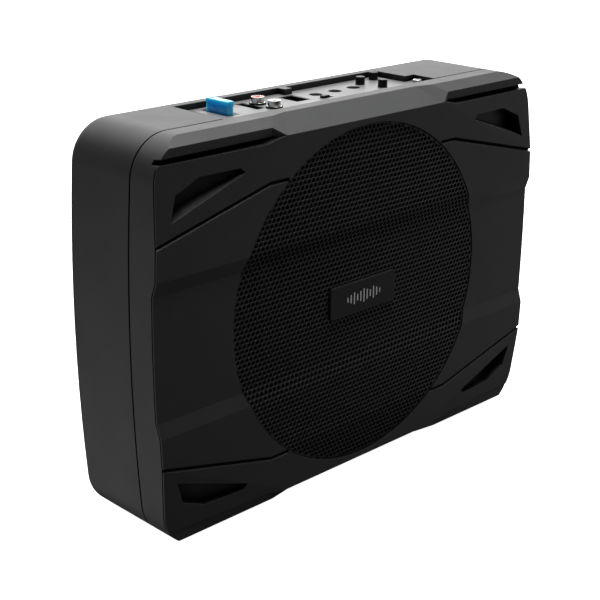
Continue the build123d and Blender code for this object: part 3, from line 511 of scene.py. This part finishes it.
def ring_wall(name, rows, body, slot, steps=240, **more):
    """A ring round the loudspeaker's axis; rows(angle) gives its section as (radius, depth)."""
    verts, faces = [], []
    for i in range(steps):
        a = 2 * math.pi * i / steps
        section = rows(a)
        for r, y in section:
            verts.append(at(r * math.cos(a), y, r * math.sin(a)))
    n = len(section)
    for i in range(steps):
        j = (i + 1) % steps
        for k in range(n):
            m = (k + 1) % n
            faces.append((i * n + k, j * n + k, j * n + m, i * n + m))
    return piece(name, verts, faces, body, slot, **more)


def grille_hem(a):
    """The folded edge: rolls over at the front and runs back to the ledge."""
    y = grille_depth(GRILLE_R * math.sin(a))
    bend = [(1.1, y), (0.45, y + 0.08), (0.12, y + 0.35), (0.0, y + 0.8)]
    wall = [(0.0, HEM_BACK), (SHEET, HEM_BACK), (SHEET, y + SHEET), (1.1, y + SHEET)]
    return [(GRILLE_R - inset, depth) for inset, depth in bend + wall]


ring_wall("grille_folded_hem", grille_hem, "case", "grille_steel", stands_for=["grille_mesh"])


def revolve(name, profile, slot, stands_for):
    """A ring of one section all round, attached to no body."""
    return ring_wall(name, lambda a: profile, None, slot, steps=180, stands_for=stands_for)


def arc(p, q, r, count):
    """Points on the arc through p, q and r."""
    (ax, ay), (bx, by), (cx, cy) = p, q, r
    d = 2 * (ax * (by - cy) + bx * (cy - ay) + cx * (ay - by))
    a2, b2, c2 = ax * ax + ay * ay, bx * bx + by * by, cx * cx + cy * cy
    ux = (a2 * (by - cy) + b2 * (cy - ay) + c2 * (ay - by)) / d
    uy = (a2 * (cx - bx) + b2 * (ax - cx) + c2 * (bx - ax)) / d
    radius = math.hypot(ax - ux, ay - uy)
    a0, am, a1 = (math.atan2(y - uy, x - ux) for x, y in (p, q, r))
    sweep = (a1 - a0) % (2 * math.pi)
    if (am - a0) % (2 * math.pi) > sweep:
        sweep -= 2 * math.pi
    angles = [a0 + sweep * i / count for i in range(count + 1)]
    return [(ux + radius * math.cos(a), uy + radius * math.sin(a)) for a in angles]


# The surround: a half roll between the basket's rim and the cone, and the lip glued to the cone
SURROUND_R = outer_radius("surround")
ROLL_STEPS = 18
front_roll = arc((90.5, 14.2), (86.4, 24.0), (80.0, 19.0), ROLL_STEPS)
back_roll = arc((80.0, 19.8), (86.6, 24.9), (91.4, 15.0), ROLL_STEPS)
lip_on_cone = [(76.0, 19.0), (76.0, 19.8)]
roll_section = [(SURROUND_R, 14.2)] + front_roll + lip_on_cone + back_roll + [(SURROUND_R, 15.0)]
roll = revolve("surround_roll", roll_section, "rubber", ["surround"])
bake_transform(roll)


def spider_profile():
    """The centring disc: a flat seat, six rounded waves and a collar on the coil's former."""
    seat_y, neck_y = 43.7, 39.3
    collar_r, inner_r, outer_r = 19.45, 20.6, 51.0
    thick, crest, waves, steps = 0.6, 0.8, 6, 96
    middle = [(collar_r, neck_y)]
    for i in range(steps + 1):
        t = i / steps
        fade = min(1.0, waves * t, waves * (1 - t))
        wave = crest * fade * math.sin(2 * math.pi * waves * t)
        middle.append((inner_r + t * (outer_r - inner_r), neck_y + (seat_y - neck_y) * t + wave))
    middle.append((outer_radius("spider"), seat_y))
    front = [(r, y - thick / 2) for r, y in middle]
    back = [(r, y + thick / 2) for r, y in reversed(middle)]
    return front + back


spider = revolve("spider_corrugated_cloth", spider_profile(), "spider_cloth", ["spider"])
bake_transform(spider)


# ---------------------------------------------------------------- stage, light, camera

def lamp(name, size, power, place, aim):
    """A soft white panel at a place, turned to an aim, that the camera does not see."""
    data = bpy.data.lights.new(name, "AREA")
    data.shape = "RECTANGLE"
    data.size, data.size_y = size
    data.energy = power
    obj = bpy.data.objects.new(name, data)
    obj.location = place
    obj.rotation_mode = "QUATERNION"
    obj.rotation_quaternion = (Vector(aim) - Vector(place)).to_track_quat("-Z", "Y")
    obj.visible_camera = False
    bpy.context.scene.collection.objects.link(obj)


FLOOR_HALF = 12
corners = [(-1, -1), (1, -1), (1, 1), (-1, 1)]
floor_corners = [(x * FLOOR_HALF, y * FLOOR_HALF, 0) for x, y in corners]
floor_mesh = bpy.data.meshes.new("studio_floor")
floor_mesh.from_pydata(floor_corners, [], [(0, 1, 2, 3)])
floor = bpy.data.objects.new("studio_floor", floor_mesh)
bpy.context.scene.collection.objects.link(floor)
floor_look = Graph("floor_pale")
pale = floor_look.mix(floor_look.noise(0.3), (0.93, 0.93, 0.93), (0.95, 0.95, 0.95))
floor_look.set(Base_Color=pale, Roughness=0.9)
floor_look.set(Emission_Color=(1.0, 1.0, 1.0), Emission_Strength=1.0, Specular_IOR_Level=0.0)
floor_mesh.materials.append(floor_look.mat)
floor.visible_glossy = False
floor.visible_diffuse = False
floor.visible_transmission = False

# The world is white to the camera and a weak even fill to everything else
FILL = 0.095
world = bpy.data.worlds.new("studio")
world.use_nodes = True
tree = world.node_tree
backdrop = tree.nodes["Background"]
backdrop.inputs["Color"].default_value = (1, 1, 1, 1)
backdrop.inputs["Strength"].default_value = 1.0
fill = tree.nodes.new("ShaderNodeBackground")
fill.inputs["Color"].default_value = (1, 1, 1, 1)
fill.inputs["Strength"].default_value = FILL
path = tree.nodes.new("ShaderNodeLightPath")
choose = tree.nodes.new("ShaderNodeMixShader")
tree.links.new(path.outputs["Is Camera Ray"], choose.inputs[0])
tree.links.new(fill.outputs[0], choose.inputs[1])
tree.links.new(backdrop.outputs[0], choose.inputs[2])
tree.links.new(choose.outputs[0], tree.nodes["World Output"].inputs["Surface"])
bpy.context.scene.world = world
bpy.context.scene.view_settings.view_transform = "Standard"

# Soft panels: name, size, power, place. Those lying on the floor face up and inwards, the others
# face the part's middle.
MIDDLE = (0.0, 0.0, 0.13)
PANELS = [
    ("back_low_right", (2.2, 0.7), 9.5, (1.5, 1.3, 0.75)),
    ("back_low", (2.2, 0.7), 2.5, (0.6, 1.9, 0.75)),
    ("back_low_far_right", (1.6, 0.7), 5.0, (1.9, 0.5, 0.7)),
    ("back_high", (2.4, 1.2), 20, (0.6, 1.6, 1.5)),
    ("overhead", (1.4, 1.0), 17, (0.3, 0.3, 1.8)),
    ("overhead_front", (1.0, 0.5), 11, (0.1, -0.4, 1.9)),
    ("top_right", (1.2, 1.2), 4.5, (1.2, -0.1, 1.3)),
    ("right_front", (1.2, 0.8), 0.3, (1.6, -0.9, 0.4)),
    ("floor_left", (0.9, 1.2), 0.7, (-0.8, 0.45, 0.02)),
    ("floor_left_near", (0.4, 0.5), 0.2, (-0.42, 0.15, 0.012)),
    ("floor_right_near", (0.7, 0.4), 0.16, (0.5, -0.3, 0.012)),
]
for name, size, power, place in PANELS:
    on_floor = place[2] < 0.1
    aim = (place[0] * 0.3, place[1] * 0.3, 0.4) if on_floor else MIDDLE
    lamp(name, size, power, place, aim)

# The camera: where it stands, and which ways its right side and its view point
CAMERA_AT = (-0.5955, -0.5885, 0.4145)
CAMERA_RIGHT = (0.7148, -0.6993, 0.0073)
CAMERA_FORWARD = (0.6588, 0.6698, -0.3425)
camera_data = bpy.data.cameras.new("camera")
camera_data.sensor_width = 36.0
camera_data.lens = 79.66
camera = bpy.data.objects.new("camera", camera_data)
bpy.context.scene.collection.objects.link(camera)
right = Vector(CAMERA_RIGHT).normalized()
forward = Vector(CAMERA_FORWARD).normalized()
up = right.cross(forward).normalized()
right = forward.cross(up).normalized()
turn = Matrix((right, up, -forward)).transposed().to_4x4()
camera.matrix_world = Matrix.Translation(CAMERA_AT) @ turn
bpy.context.scene.camera = camera
